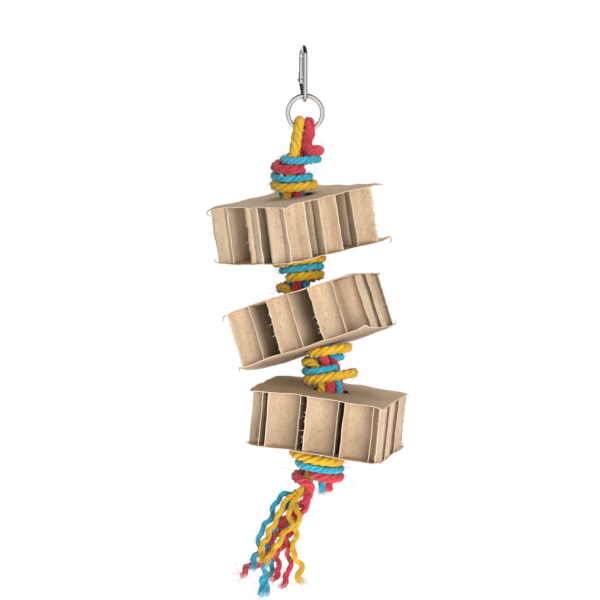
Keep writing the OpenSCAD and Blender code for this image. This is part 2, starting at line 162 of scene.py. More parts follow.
def paper_material(name, dark, mid, light, worn=False):
    """Kraft paper: speckled pulp and a cloudy tone. Worn paper is paler where it tore, and painted
    shade darkens it deep inside the cells."""
    material, tree, shader = new_material(name, 0.88)
    place = tree.nodes.new("ShaderNodeTexCoord").outputs["Object"]
    cloud = add_noise(tree, place, 48, detail=3)
    pulp = add_noise(tree, place, 1100, detail=4, roughness=0.75)
    speck = add_noise(tree, place, 520, (1, 1, 0.7), detail=2, roughness=0.6)
    streak = add_noise(tree, place, 240, (1, 1, 0.14), detail=3)
    tone = add_ramp(tree, cloud, [(0.3, mid), (0.7, light)])
    grain = add_ramp(tree, pulp, [(0.3, dark), (0.62, light)])
    colour = add_mix(tree, tone, grain, 0.34)
    shade = add_ramp(tree, streak, [(0.35, linear(232, 229, 225)), (0.65, white)])
    colour = add_mix(tree, colour, shade, 0.45, "MULTIPLY")
    specks = add_ramp(tree, speck, [(0.3, linear(188, 170, 152)), (0.42, white), (0.66, white),
                                    (0.74, linear(196, 176, 156))])
    colour = add_mix(tree, colour, specks, 0.55, "MULTIPLY")
    if worn:
        # Pale torn edges, and painted shade deep inside the cells
        tear_and_shade = tree.nodes.new("ShaderNodeAttribute")
        tear_and_shade.attribute_name = "tear_and_shade"
        parts = tree.nodes.new("ShaderNodeSeparateXYZ")
        tree.links.new(tear_and_shade.outputs["Vector"], parts.inputs["Vector"])
        ragged = add_math(tree, "MULTIPLY", add_math(tree, "ADD", parts.outputs["X"], pulp), 0.5)
        torn = add_ramp(tree, ragged, [(0.6, black), (0.68, white)])
        pale = tree.nodes.new("ShaderNodeRGB")
        pale.outputs["Color"].default_value = linear(230, 211, 186)
        colour = add_mix(tree, colour, pale.outputs["Color"], torn)
        # Painted shade: the deeper inside a block a point lies, the darker its paper
        painted_depth_shade = add_ramp(tree, parts.outputs["Y"], [(0, white), (1, linear(96, 84, 74))])
        colour = add_mix(tree, colour, painted_depth_shade, 1.0, "MULTIPLY")
    tree.links.new(colour, shader.inputs["Base Color"])
    shader.inputs["Specular IOR Level"].default_value = 0.25
    add_bump(tree, shader, [(cloud, 0.35, 0.9), (streak, 0.2, 0.2), (pulp, 0.4, 0.12)])
    return material


def sisal_material(name, dark, mid, light):
    """Dyed sisal: stiff fibres along each strand, some of them paler or deeper in colour."""
    material, tree, shader = new_material(name, 0.62)
    source = tree.nodes.new("ShaderNodeAttribute")
    source.attribute_name = "strand_place"
    place = source.outputs["Vector"]
    hair = add_noise(tree, place, 1, (2.1, 2.1, 0.085), detail=3, roughness=0.6)
    thread = add_noise(tree, place, 1, (5.5, 5.5, 0.16), detail=2)
    patch = add_noise(tree, place, 1, (0.25, 0.25, 0.11), detail=2)
    colour = add_ramp(tree, hair, [(0.34, dark), (0.5, mid), (0.68, light)])
    tint = add_ramp(tree, patch, [(0.3, linear(214, 214, 214)), (0.7, white)])
    colour = add_mix(tree, colour, tint, 0.8, "MULTIPLY")
    tree.links.new(colour, shader.inputs["Base Color"])
    shader.inputs["Specular IOR Level"].default_value = 0.35
    shader.inputs["Sheen Weight"].default_value = 0.25
    shader.inputs["Sheen Roughness"].default_value = 0.5
    add_bump(tree, shader, [(hair, 0.9, 0.55), (thread, 0.7, 0.2)])
    return material


def round_profile(tree, place, centre, radius, half_width):
    """A height that swells across a flat ring's face: 0 at its edges and 1 in its middle."""
    parts = tree.nodes.new("ShaderNodeSeparateXYZ")
    tree.links.new(place, parts.inputs["Vector"])
    across = add_math(tree, "SUBTRACT", parts.outputs["X"], centre[0])
    up = add_math(tree, "SUBTRACT", parts.outputs["Z"], centre[2])
    squares = add_math(tree, "ADD", add_math(tree, "MULTIPLY", across, across),
                       add_math(tree, "MULTIPLY", up, up))
    away = add_math(tree, "SUBTRACT", add_math(tree, "SQRT", squares), radius)
    share = add_math(tree, "DIVIDE", away, half_width)
    left = add_math(tree, "SUBTRACT", 1.0, add_math(tree, "MULTIPLY", share, share))
    return add_math(tree, "SQRT", add_math(tree, "MAXIMUM", left, 0.0))


def steel_material(name, roughness, tone, ring=None):
    """Bright nickel plate with faint scratches and clouding. A ring is given as its centre, its
    middle radius and half the width of its wire, and its face looks worn round."""
    smoother = 0.04
    duller = 0.05
    round_strength = 0.75
    material, tree, shader = new_material(name, roughness, 1.0)
    place = tree.nodes.new("ShaderNodeTexCoord").outputs["Object"]
    cloud = add_noise(tree, place, 160, detail=3)
    scratch = add_noise(tree, place, 500, (1, 1, 0.15), detail=1)
    bright = tuple(min(1, c * 1.15) for c in tone[:3]) + (1,)
    colour = add_ramp(tree, cloud, [(0.3, tone), (0.7, bright)])
    tree.links.new(colour, shader.inputs["Base Color"])
    rough = tree.nodes.new("ShaderNodeMapRange")
    rough.inputs["To Min"].default_value = roughness - smoother
    rough.inputs["To Max"].default_value = roughness + duller
    tree.links.new(cloud, rough.inputs["Value"])
    tree.links.new(rough.outputs["Result"], shader.inputs["Roughness"])
    layers = [(scratch, 0.04, 0.02)]
    if ring:
        profile = round_profile(tree, place, *ring)
        layers.append((profile, round_strength, ring[2] / MM))
    add_bump(tree, shader, layers)
    return material


# Worn papers have pale torn edges and painted shade deep inside the blocks
sheet_paper = paper_material("facing_paper", linear(144, 118, 92), linear(190, 164, 136),
                             linear(208, 184, 156), worn=True)
core_paper = paper_material("core_paper", linear(158, 132, 104), linear(208, 182, 151),
                            linear(224, 200, 170), worn=True)
torn_paper = paper_material("torn_paper", linear(200, 176, 150), linear(228, 211, 190),
                            linear(242, 231, 214))
sisal = {
    "yellow": sisal_material("yellow_sisal", linear(206, 138, 4), linear(253, 200, 22),
                             linear(255, 228, 74)),
    "red": sisal_material("red_sisal", linear(160, 16, 38), linear(230, 48, 70),
                          linear(249, 106, 118)),
    "blue": sisal_material("blue_sisal", linear(0, 118, 154), linear(20, 190, 224),
                           linear(102, 226, 244)),
}
plate_steel = steel_material("nickel_plate", 0.2, linear(214, 214, 211))


# Meshes
def add_piece(name, heap, material, values=None, cad=None, smooth=True):
    """A mesh piece from a heap in millimetres. It rides on the toy and may stand for a CAD node.

    The heap's point values are strand_place for sisal, the points of its pattern, and, for worn
    paper, how torn each point is and how much painted shade darkens it deep inside its block.
    """
    mesh = bpy.data.meshes.new(name)
    mesh.from_pydata((np.asarray(heap.points, float) * MM).tolist(), [], heap.faces)
    mesh.update()
    mesh.materials.append(material)
    if smooth:
        mesh.shade_smooth()
    else:
        mesh.shade_flat()
    if values:
        layer = mesh.attributes.new(values, "FLOAT_VECTOR", "POINT")
        layer.data.foreach_set("vector", np.asarray(heap.values, np.float32).ravel())
    piece = bpy.data.objects.new(name, mesh)
    bpy.context.scene.collection.objects.link(piece)
    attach(piece, "toy")
    if cad:
        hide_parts(cad)
    return piece


def unit(v):
    return v / np.linalg.norm(v)


class Heap:
    """Points, faces and point values of the small shapes that make one piece."""

    def __init__(self):
        self.points = []
        self.faces = []
        self.values = []

    def add(self, points, faces, values):
        first = len(self.points)
        self.points.extend(points)
        self.values.extend(values)
        self.faces.extend([tuple(first + i for i in face) for face in faces])


# Curves through points
def curve_through(points, step):
    """A smooth curve through the points, as evenly spaced points."""
    p = [np.array(q, float) for q in points]
    p = [2 * p[0] - p[1]] + p + [2 * p[-1] - p[-2]]
    samples = 14
    fine = []
    for a, b, c, d in zip(p, p[1:], p[2:], p[3:]):
        t0 = 0.0
        t1 = t0 + math.sqrt(np.linalg.norm(b - a))
        t2 = t1 + math.sqrt(np.linalg.norm(c - b))
        t3 = t2 + math.sqrt(np.linalg.norm(d - c))
        for t in np.linspace(t1, t2, samples)[:-1]:
            ab = ((t1 - t) * a + (t - t0) * b) / (t1 - t0)
            bc = ((t2 - t) * b + (t - t1) * c) / (t2 - t1)
            cd = ((t3 - t) * c + (t - t2) * d) / (t3 - t2)
            abc = ((t2 - t) * ab + (t - t0) * bc) / (t2 - t0)
            bcd = ((t3 - t) * bc + (t - t1) * cd) / (t3 - t1)
            fine.append(((t2 - t) * abc + (t - t1) * bcd) / (t2 - t1))
    fine.append(p[-2])
    fine = np.array(fine)
    gone = np.concatenate([[0], np.cumsum(np.linalg.norm(np.diff(fine, axis=0), axis=1))])
    count = max(3, round(gone[-1] / step) + 1)
    even = np.linspace(0, gone[-1], count)
    return np.stack([np.interp(even, gone, fine[:, k]) for k in range(3)], axis=1)


def eased(path, rounds):
    """The same path with its corners eased, its ends kept."""
    path = path.copy()
    for _ in range(rounds):
        path[1:-1] = 0.25 * path[:-2] + 0.5 * path[1:-1] + 0.25 * path[2:]
    return path


def path_length(path):
    return float(np.linalg.norm(np.diff(path, axis=0), axis=1).sum())


def frames_along(path):
    """Two side directions at each point of a path, carried along without twist."""
    tangents = np.gradient(path, axis=0)
    tangents /= np.linalg.norm(tangents, axis=1)[:, None]
    side = np.array([0.0, 0.0, 1.0]) if abs(tangents[0][2]) < 0.9 else np.array([1.0, 0.0, 0.0])
    ones = []
    for t in tangents:
        side = unit(side - (side @ t) * t)
        ones.append(side)
    ones = np.array(ones)
    return ones, np.cross(tangents, ones)


def out_at(one, two, i, angle):
    """The direction square to a path at its point i, at an angle round it."""
    return math.cos(angle) * one[i] + math.sin(angle) * two[i]


def add_tube(heap, path, radius, sides, seed, ridge=0.0):
    """A tube along the path into a heap. Its radius is a number or one number per point, and ridge
    is how uneven its skin is."""
    grain_round = 2.2
    grain_along = 0.12
    seeds_apart = 7.3
    one, two = frames_along(path)
    count = len(path)
    radius = np.broadcast_to(np.asarray(radius, float), (count,))
    step = np.linalg.norm(path[1] - path[0])
    points = []
    place = []
    for i in range(count):
        for k in range(sides):
            angle = 2 * math.pi * k / sides
            c, s = math.cos(angle), math.sin(angle)
            r = radius[i]
            if ridge:
                spot = Vector((grain_round * c + seed, grain_round * s, grain_along * i * step))
                r *= 1 + ridge * noise.noise(spot)
            points.append(path[i] + r * (c * one[i] + s * two[i]))
            place.append((radius[i] * c + seeds_apart * seed, radius[i] * s, i * step))
    faces = []
    for i in range(count - 1):
        for k in range(sides):
            m = (k + 1) % sides
            faces.append((i * sides + k, i * sides + m, (i + 1) * sides + m, (i + 1) * sides + k))
    faces.append(tuple(range(sides - 1, -1, -1)))
    faces.append(tuple((count - 1) * sides + k for k in range(sides)))
    heap.add(points, faces, place)


# Ropes: the same route as the solids', from the same sizes. Two of them are folded over the ring.
rope_d = 8.0
thin_rope_d = 5.8
leg_gap = 0.7
turn_gap = 0.3
strand_d = 3.3
loop_r = 7.1
loop_tilt = 0.4
yellow_loop_x = -6
red_loop_x = 4

# Ring and blocks. A block is turned about X, then Y, then Z.
ring_mid_r = 15.15
ring_wire_w = 3.9
ring_at = np.array([1.6, -5, -56.5])
hole_d = 34
block_l = 121
block_w = 100
block_t = 50
sheet_t = 0.8
block_at = np.array([(-3, -5, -153.5), (6.2, -5, -238.7), (21.6, -5, -324.2)])
block_turn = [(0.5, -11.5, 43), (0.5, -17.9, -17), (5.8, 7.7, -14)]

# Knots, from the top down. Each has its middle, the axis of its turns and the way that its legs
# lean, the slack and the bulge of its turns, and how far its legs have turned round the bundle.
knot_at = np.array([(-6, -7.5, -106.6), (-3, -2.2, -195.3), (19.2, -7.7, -278.5), (13.5, -1, -366.1)])
knot_axis = np.array([(-0.1, -0.3, 1), (-0.1, 0, 1), (-0.14, -0.03, 1), (0.13, -0.18, 1)])
knot_lean = np.array([(0.16, 0, 1), (0.12, 0, 1), (-0.26, 0.03, 1), (0.15, 0, 1)])
knot_slack = [0.3, 1, 1.2, 2.5]
knot_bulge = [2, 5, 6, 4]
knot_bulge_way = [190, 195, 335, 185]
knot_twist = [0, -30, -30, -60]

# Turns of a knot. Its legs lie in six slots round the bundle, and those named in knot_legs wind
# round it from the top down, where a bight is the blue rope's fold round the top knot.
slot_r = rope_d + leg_gap
turn_fall = rope_d + turn_gap
turn_step = 20
back_share = [0, 1.7, 1.6, 0.6]
red_fall = rope_d + thin_rope_d + 2 * turn_gap
top_knot_fall = [(-180, -0.1), (-60, 0), (150, red_fall), (300, red_fall + 0.2),
                 (480, red_fall + turn_fall + 0.2)]
bight = 100
bight_from = -180
bight_span = 540
knot_legs = [[-3, bight, 0], [0, 1, 2], [2, 4, 6], [0, 1, 3]]
lead = 4.5
lead_angle = 12
hole_lead = 14
block_share = 0.35
legs_apart = 60
ease_angle = 60
settle_angle = 50

# Ends of the ropes below the lowest knot
yellow_end = [(3, -1.5, -383), (-4, -4, -390.5)]
red_end = [(4.5, -9.5, -391)]
blue_end = [(5, 7.5, -383), (-4, 6.5, -390)]
yellow_stub = [(17.5, 8, -386.5)]
red_stub = [(22, 0, -387)]
blue_stub = [(16, -9, -387.5)]


def cos(degrees):
    return math.cos(math.radians(degrees))


def sin(degrees):
    return math.sin(math.radians(degrees))


def side_x(n):
    """The direction square to an axis that is nearest to X."""
    return unit(np.array([1, 0, 0]) - n[0] * n)


def side_y(n):
    """The direction square to an axis and to its side_x."""
    return np.cross(n, side_x(n))


def polar(r, angle, z):
    """A point at a radius and an angle round an axis, and a height on it."""
    return (r * cos(angle), r * sin(angle), z)


def slot_angle(leg, twist):
    """The angle at which a leg runs through a bundle."""
    return (2 + leg) * legs_apart + twist


def leg_d(leg):
    """The diameter of a leg's rope. Every third leg is the blue one."""
    return thin_rope_d if leg == bight or leg % 3 == 1 else rope_d


def fall(k, angle):
    """How far a turn has come down at an angle."""
    if k == 0:
        return float(np.interp(angle, *zip(*top_knot_fall)))
    return turn_fall * (angle / 360 - back_share[k] * cos(angle) / (2 * math.pi))


def turn_from(k, i):
    """The angle at which a knot's turn starts."""
    return bight_from if knot_legs[k][i] == bight else slot_angle(knot_legs[k][i], knot_twist[k])


def turn_span(k, i):
    return bight_span if knot_legs[k][i] == bight else 360


def under_first(k, i):
    """How far a turn lies below its knot's first one."""
    if i == 0:
        return 0
    both = (leg_d(knot_legs[k][i - 1]) + leg_d(knot_legs[k][i])) / 2
    return under_first(k, i - 1) + both + turn_gap


def first_z(k):
    """The height of a knot's first turn, which puts the knot's middle at 0."""
    last = len(knot_legs[k]) - 1
    whole = under_first(k, last) + fall(k, turn_from(k, last) + turn_span(k, last))
    return (fall(k, turn_from(k, 0)) + whole) / 2


def turn_z(k, i, angle):
    """The height of a turn at an angle."""
    return first_z(k) - under_first(k, i) - fall(k, angle)


def turn_r(k, angle, gone, span):
    """The radius of a turn: out from its leg's slot at its start, and back in at its end."""
    near = min(gone, span - gone)
    if near < ease_angle:
        return 2 * slot_r * cos(ease_angle - near)
    loose = knot_slack[k] + knot_bulge[k] * max(0, cos(angle - knot_bulge_way[k])) ** 2
    return 2 * slot_r + loose * min(1, (near - ease_angle) / settle_angle)


def in_knot(k, p):
    """A point given in a knot's own directions, in the frame."""
    n = unit(knot_axis[k])
    along = knot_lean[k] / (knot_lean[k] @ n)
    return knot_at[k] + p[0] * side_x(n) + p[1] * side_y(n) + p[2] * along


def turn_points(k, i):
    start = turn_from(k, i)
    span = turn_span(k, i)
    steps = round((span - 2 * lead_angle) / turn_step)
    made = []
    for j in range(steps + 1):
        gone = lead_angle + (span - 2 * lead_angle) * j / steps
        angle = start + gone
        made.append(in_knot(k, polar(turn_r(k, angle, gone, span), angle, turn_z(k, i, angle))))
    return made


def through_knot(k, leg):
    """A leg's points through a knot, with its own turn if it has one."""
    angle = slot_angle(leg, knot_twist[k])
    reach = turn_z(k, 0, turn_from(k, 0)) + lead + 1
    mine = [i for i, other in enumerate(knot_legs[k]) if other != bight and (other - leg) % 6 == 0]
    made = [in_knot(k, polar(slot_r, angle, reach))]
    if mine:
        start = slot_angle(knot_legs[k][mine[0]], knot_twist[k])
        made.append(in_knot(k, polar(slot_r, angle, turn_z(k, mine[0], start) + lead)))
        made += turn_points(k, mine[0])
        made.append(in_knot(k, polar(slot_r, angle, turn_z(k, mine[0], start + 360) - lead)))
    if k < len(knot_at) - 1:
        made.append(in_knot(k, polar(slot_r, angle, -reach)))
    return made


def block_axes(k):
    """The three axes of a block."""
    x, y, z = block_turn[k]
    about_x = np.array([[1, 0, 0], [0, cos(x), -sin(x)], [0, sin(x), cos(x)]])
    about_y = np.array([[cos(y), 0, sin(y)], [0, 1, 0], [-sin(y), 0, cos(y)]])
    about_z = np.array([[cos(z), -sin(z), 0], [sin(z), cos(z), 0], [0, 0, 1]])
    return about_z @ about_y @ about_x


def through_block(k, leg):
    """A leg's two points in the hole of a block."""
    n = block_axes(k)[:, 2]
    by = knot_twist[k + 1] - knot_twist[k]
    made = []
    for t in (0, 1):
        twist = knot_twist[k] + by * (block_share + (1 - 2 * block_share) * t)
        p = polar(slot_r, slot_angle(leg, twist), (block_t / 2 - hole_lead) * (1 - 2 * t))
        made.append(block_at[k] + p[0] * side_x(n) + p[1] * side_y(n) + p[2] * n)
    return made


def below_top_knot(leg):
    """A leg's points from the top knot down."""
    made = []
    for k in range(len(block_at)):
        made += through_block(k, leg)
        made += through_knot(k + 1, leg)
    return made


def loop_points(x):
    """The fold of a rope over the ring, x to the side of its lowest point."""
    up = unit(np.array([-loop_tilt * x / ring_mid_r, 0, 1]))
    low = ring_at + np.array([x, 0, -math.sqrt(ring_mid_r ** 2 - x ** 2)])
    return [low + loop_r * (cos(a) * np.array([0, 1, 0]) + sin(a) * up) for a in range(-30, 211, 30)]


def looped_rope(x, back_leg, front_leg, back_end, front_end):
    """A rope's route from one end up, over the ring and down to its other end."""
    back = through_knot(0, back_leg) + below_top_knot(back_leg) + back_end
    front = through_knot(0, front_leg) + below_top_knot(front_leg) + front_end
    return back[::-1] + loop_points(x) + front


def blue_route():
    """The blue rope's route, round the top knot and down on both sides."""
    i = knot_legs[0].index(bight)
    end = bight_from + bight_span
    back = through_knot(0, 1)[1:] + below_top_knot(1) + blue_end
    into = in_knot(0, polar(slot_r, bight_from, turn_z(0, i, bight_from) - lead))
    out = in_knot(0, polar(slot_r, end, turn_z(0, i, end) - lead))
    front = through_knot(0, 4)[1:] + below_top_knot(4) + blue_stub
    return back[::-1] + [into] + turn_points(0, i) + [out] + front


routes = {
    "yellow": looped_rope(yellow_loop_x, 0, 2, yellow_stub, yellow_end),
    "red": looped_rope(red_loop_x, 5, 3, red_stub, red_end),
    "blue": blue_route(),
}
rope_sizes = {"yellow": rope_d, "red": rope_d, "blue": thin_rope_d}

# Loose strands, each from the end of its rope to its own end
strand_routes = {
    "yellow_strand_1": [
        (-5.6, -4.1, -389.1), (-8.4, -5.1, -392.1), (-18, -10, -398.5), (-21, -11, -408),
        (-26, -12, -417), (-31, -12, -426), (-35, -12, -434), (-36, -12, -442), (-38, -12, -450)],
    "yellow_strand_2": [
        (-3, -5.8, -391), (-5.8, -6.8, -394), (-11, -12, -401), (-12, -15, -410), (-11, -16, -420),
        (-19, -16, -427), (-24, -16, -437), (-30, -16, -443), (-31, -16, -451)],
    "yellow_strand_3": [
        (-3.6, -2.3, -391.6), (-6.4, -3.3, -394.6), (-7, -4, -399), (-4, -13, -406),
        (-5, -14, -415), (-8, -12, -434), (-9, -12, -443), (-2, -12, -452), (-4, -12, -462),
        (0, -12, -469)],
    "red_strand_1": [
        (5.6, -11.3, -391.1), (3.6, -12.3, -397), (1, -11, -404), (-2, -6, -407), (-12, -5.5, -409),
        (-18, -5, -417), (-15, -5, -430), (-13, -5, -443), (-12, -5, -456), (-15, -5, -465),
        (-20, -5, -473)],
    "red_strand_2": [
        (5.4, -7.8, -391.7), (3.4, -8.8, -397.6), (1, -1, -403), (-6, 0, -413), (-11, 0, -425),
        (-19, -1, -437), (-24, -2, -447), (-21, -2, -457), (-28, -2, -468)],
    "red_strand_3": [
        (2.5, -9.6, -390.4), (0.5, -10.6, -396.3), (-5, 1, -401), (-16, 1, -414), (-24, 0, -428),
        (-30, 0, -441), (-39, 0, -452), (-48, 0, -455), (-55, 0, -463)],
    "blue_strand_1": [
        (-5.4, 6.5, -388.4), (-9, 6.1, -391.2), (-20, 2, -393), (-26, -2, -404), (-30, -4, -414),
        (-38, -5, -425), (-39, -5, -440), (-43, -5, -448), (-45, -5, -458)],
    "blue_strand_2": [
        (-3.6, 8.3, -391), (-7.2, 7.9, -393.8), (-15, 8, -402), (-21, 7, -413), (-25, 6, -426),
        (-31, 4, -438), (-33, 4, -452), (-35, 4, -466), (-39, 4, -481)],
    "blue_strand_3": [
        (-3.3, 4.7, -390.8), (-6.9, 4.3, -393.6), (-8, 6, -406), (-13, 8, -418), (-19, 8, -432),
        (-25, 8, -446), (-29, 8, -460), (-33, 8, -471), (-33, 8, -481)],
}


def add_fibre(heap, start, way, length, thickness, bend, chance):
    """One stray fibre, a thin tapering tube that curls as it goes."""
    pieces = 6
    taper = 0.6
    sides = 3
    curl = np.array([chance.gauss(0, 1) for _ in range(3)])
    turn = np.array([chance.gauss(0, 1) for _ in range(3)])
    way = unit(way)
    path = [start]
    for i in range(pieces):
        way = unit(way + bend * (curl + turn * i / pieces) / pieces)
        path.append(path[-1] + way * length / pieces)
    radius = [thickness / 2 * (1 - taper * i / pieces) for i in range(pieces + 1)]
    add_tube(heap, np.array(path), radius, sides, chance.random() * 9)


def any_way_out(one, two, i, chance):
    """The same at an angle by chance."""
    return out_at(one, two, i, chance.uniform(0, 2 * math.pi))


def crimped(path, radius, pitch, seed):
    """A strand keeps the spiral that it had in the rope. It grows over the strand's first stretch."""
    grows_over = 18
    uneven = 0.3
    one, two = frames_along(path)
    step = np.linalg.norm(path[1] - path[0])
    made = []
    for i, p in enumerate(path):
        gone = i * step
        size = radius * min(1, gone / grows_over)
        turns = gone / pitch + uneven * noise.noise(Vector((gone * 0.05, seed, 0)))
        angle = 2 * math.pi * turns + 2 * seed
        made.append(p + size * out_at(one, two, i, angle))
    return np.array(made)


def loose_strand(name, seed):
    """A frayed strand: many yarns of fibre that wind together and part towards the end."""
    colour = name.split("_")[0]
    chance = random.Random(seed)
    yarns = 34
    yarn_d = 0.72
    yarn_sides = 5
    yarn_pitch = 34
    yarn_turn = 2.4
    full_length_every = 3
    ends_early = 12
    fullness = 1.9
    wave_r = 1.3
    wave_pitch = 16
    flare = 0.45
    flare_l = 22
    snug = 0.86
    snug_change = 0.28
    sway = 0.8
    tip_points = 6
    tip_share = 0.25
    fibres = 60
    fibre_d = 0.26
    fibre_bend = 1.1
    step = 1.5
    centre = crimped(curve_through(strand_routes[name], step), wave_r, wave_pitch, seed)
    one, two = frames_along(centre)
    count = len(centre)
    gone = np.arange(count) * step
    left = gone[-1] - gone
    heap = Heap()
    for y in range(yarns):
        share = math.sqrt((y + 0.5) / yarns)
        turn = yarn_turn * y + chance.uniform(-0.3, 0.3)
        wander = chance.uniform(0, 50)
        short = 0 if y % full_length_every == 0 else chance.uniform(0, 1) ** 2 * ends_early
        last = count - int(short / step)
        spread = []
        for i in range(last):
            near_end = max(0, 1 - left[i] / flare_l)
            loose = snug + snug_change * noise.noise(Vector((gone[i] * 0.09, wander, 0)))
            r = fullness * (strand_d - yarn_d) / 2 * share * (loose + flare * near_end)
            swing = sway * noise.noise(Vector((gone[i] * 0.06, 0, wander)))
            angle = turn + 2 * math.pi * gone[i] / yarn_pitch + swing
            spread.append(centre[i] + r * out_at(one, two, i, angle))
        taper = yarn_d / 2 * np.clip((last - np.arange(last)) / tip_points, tip_share, 1)
        add_tube(heap, np.array(spread), taper, yarn_sides, y * 0.61 + seed)
    piece = add_piece(name + "_yarns", heap, sisal[colour], "strand_place", cad=name)

    hairs = Heap()
    for _ in range(fibres):
        i = min(count - 2, int(chance.random() ** 0.7 * count))
        out = any_way_out(one, two, i, chance)
        along = centre[min(i + 1, count - 1)] - centre[i]
        way = 0.9 * unit(along) + chance.uniform(0.2, 0.9) * out
        add_fibre(hairs, centre[i] + 0.45 * strand_d * out, way, chance.uniform(4, 13), fibre_d,
                  fibre_bend, chance)
    fringe = add_piece(name + "_fibres", hairs, sisal[colour], "strand_place")


for number, name in enumerate(strand_routes):
    loose_strand(name, number + 1)


def add_rope_fibres(colour, centre, one, two, chance):
    """Stray fibres along a rope: many short ones, a few long ones, and a tuft at each end."""
    short_per_mm = 0.62
    long_ones = 14
    in_tuft = 60
    short_l = (3, 11)
    long_l = (13, 24)
    tuft_l = (2.5, 6)
    d = rope_sizes[colour]
    skin = 0.48 * d
    count = len(centre)
    hairs = Heap()
    for _ in range(int(path_length(centre) * short_per_mm)):
        i = chance.randrange(2, count - 2)
        out = any_way_out(one, two, i, chance)
        along = unit(centre[i + 1] - centre[i]) * chance.choice((-1, 1))
        way = chance.uniform(0.5, 1.3) * along + chance.uniform(0.25, 0.9) * out
        add_fibre(hairs, centre[i] + skin * out, way, chance.uniform(*short_l), 0.22, 1.2, chance)
    for _ in range(long_ones):
        i = chance.randrange(2, count - 2)
        out = any_way_out(one, two, i, chance)
        way = unit(centre[i + 1] - centre[i]) * chance.choice((-1, 1)) + 0.8 * out
        add_fibre(hairs, centre[i] + skin * out, way, chance.uniform(*long_l), 0.26, 1.6, chance)
    for end, inner in ((0, 3), (count - 1, count - 4)):
        for _ in range(in_tuft):
            away = unit(centre[end] - centre[inner])
            out = any_way_out(one, two, end, chance)
            start = centre[end] + chance.uniform(0, 0.42) * d * out - 1.2 * away
            way = away + chance.uniform(0, 0.6) * out
            add_fibre(hairs, start, way, chance.uniform(*tuft_l), 0.34, 0.7, chance)
    add_piece(colour + "_rope_fibres", hairs, sisal[colour], "strand_place")


def laid_rope(colour, seed):
    """A rope of three strands laid round one another along its route."""
    d = rope_sizes[colour]
    chance = random.Random(seed)
    step = 1.35
    strands = 3
    lay = 2.7 * d
    spiral_r = 0.268 * d
    strand_r = 0.258 * d
    bight_swell = 0.17
    swells_over = 10
    uneven = 0.09
    ridge = 0.16
    sides = 14
    smoothing = 4
    centre = eased(curve_through(routes[colour], step), smoothing)
    step = path_length(centre) / (len(centre) - 1)
    one, two = frames_along(centre)
    count = len(centre)
    heap = Heap()
    for n in range(strands):
        path = []
        width = []
        for i in range(count):
            gone = i * step
            angle = -2 * math.pi * (gone / lay + n / strands)
            loose = 1 + 0.07 * noise.noise(Vector((gone * 0.05, 3.3 * n, seed)))
            above = min(1, max(0, (centre[i][2] - knot_at[0][2] - 2) / swells_over))
            swell = 1 + bight_swell * above
            out = out_at(one, two, i, angle)
            path.append(centre[i] + spiral_r * loose * swell * out)
            change = uneven * noise.noise(Vector((gone * 0.11, 5.1 * n, seed + 9)))
            width.append(strand_r * swell * (1 + change))
        add_tube(heap, np.array(path), width, sides, seed + n, ridge)
    add_piece(colour + "_laid_rope", heap, sisal[colour], "strand_place",
              cad=colour + "_rope")
    add_rope_fibres(colour, centre, one, two, chance)


for number, colour in enumerate(routes):
    laid_rope(colour, 11 + 5 * number)


# Blocks: facing sheets and honeycomb ribbons, from the same cell sizes as the solids
paper_t = 0.6
cell_pitch = [41, 39, 33]
row_pitch = 17
glue_l = [(16, 16), (12, 12), (4.5, 20)]
cell_wander = 1.6
glue_lap = 0.1
cell_start = [(-70.1, -3.5), (-66.5, -5.5), (-77.4, -1)]
cells_across = 5
core_t = block_t - 2 * sheet_t


def warp(k, p):
    """Soft paper is never quite flat: a block sags and swells a little, less near its hole."""
    still_r = 24
    grows_over = 22
    sag = 1.5
    ripple = 0.55
    sideways = 0.8
    x, y, z = p
    away = min(1, max(0, (math.hypot(x, y) - still_r) / grows_over))
    broad = Vector((x * 0.022 + 5 * k, y * 0.022, z * 0.012))
    fine = Vector((x * 0.06, y * 0.06 + 7 * k, z * 0.03))
    push = noise.noise_vector(broad) * sag + noise.noise_vector(fine) * ripple
    return np.array([x + sideways * away * push.x, y + sideways * away * push.y, z + away * push.z])


def to_world(k, points):
    """Points of a block, warped and put where the block is."""
    axes = block_axes(k)
    return [block_at[k] + axes @ warp(k, p) for p in points]


def painted_shade_share(x, y):
    """How deep a place lies inside a block, as its share of painted shade: 0 near the light, 1 in the
    dark.
    """
    lit_depth = 12
    darkens_over = 20
    depth = min(block_l / 2 - abs(x), block_w / 2 - abs(y))
    return min(1, max(0, (depth - lit_depth) / darkens_over))


